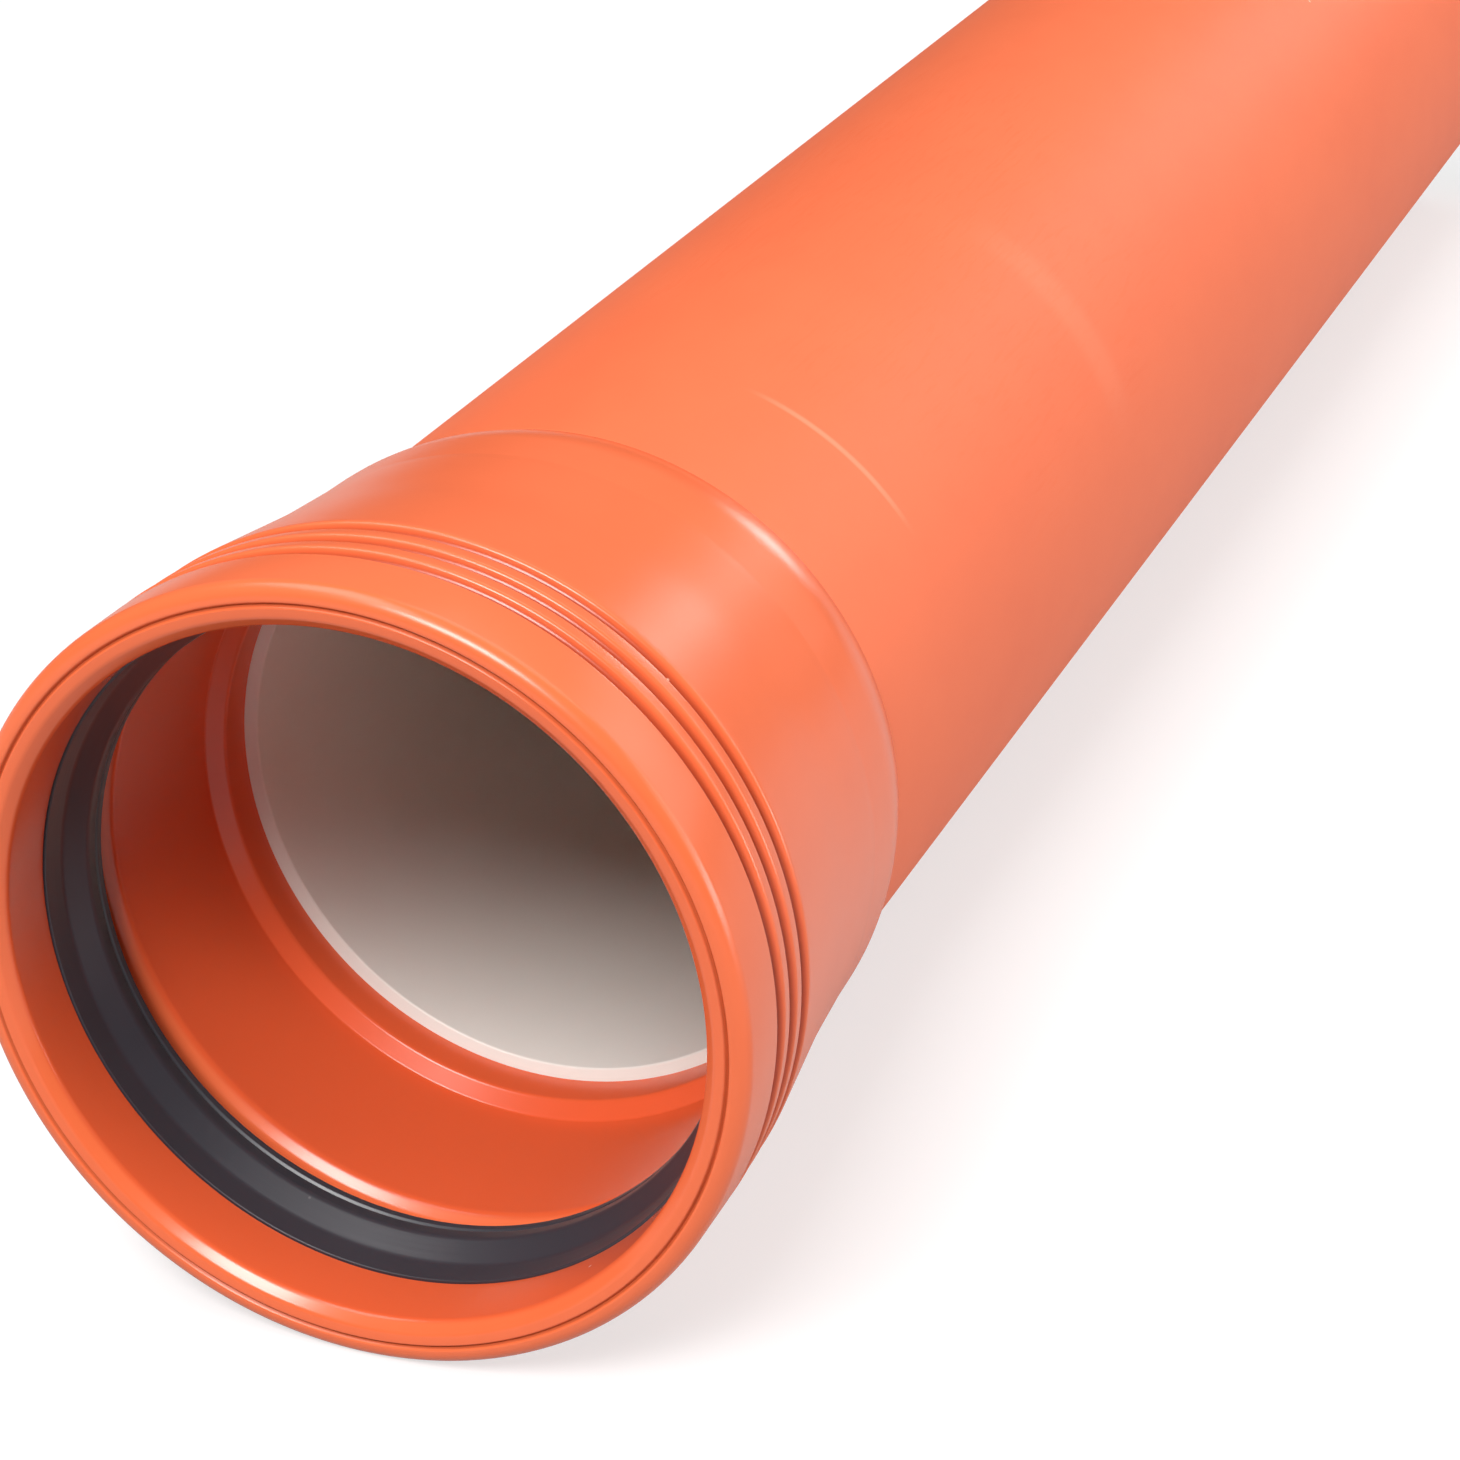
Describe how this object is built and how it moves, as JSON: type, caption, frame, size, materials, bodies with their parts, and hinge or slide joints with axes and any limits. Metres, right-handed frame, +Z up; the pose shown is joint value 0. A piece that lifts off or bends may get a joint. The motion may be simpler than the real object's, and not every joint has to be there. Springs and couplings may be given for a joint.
{
  "type": "polypropylene sewer pipe",
  "caption": "Orange push-fit sewer pipe with a moulded socket, ribbed collar, retaining ring, rubber lip seal and pale inner layer; the other end is a chamfered spigot.",
  "frame": {"origin": "on the pipe's axis at the inner end of the socket's guiding bore, where a pushed-in pipe stops", "axes": "the pipe lies along Y: +Y from the socket to the spigot end, the socket's mouth looks along -Y, +Z is up"},
  "size_m": [0.2278, 1.114, 0.2278],
  "materials": {
    "orange_pipe": "smooth extruded, satin",
    "pale_layer": "smooth extruded, satin",
    "orange_moulding": "moulded, satin",
    "orange_ring": "moulded, satin",
    "seal_rubber": "moulded, slightly shiny"
  },
  "bodies": {
    "root": {"pipe_wall": "orange_pipe", "inner_layer": "pale_layer", "socket": "orange_moulding", "retaining_ring": "orange_ring", "seal_ring": "seal_rubber"}
  },
  "joints": []
}
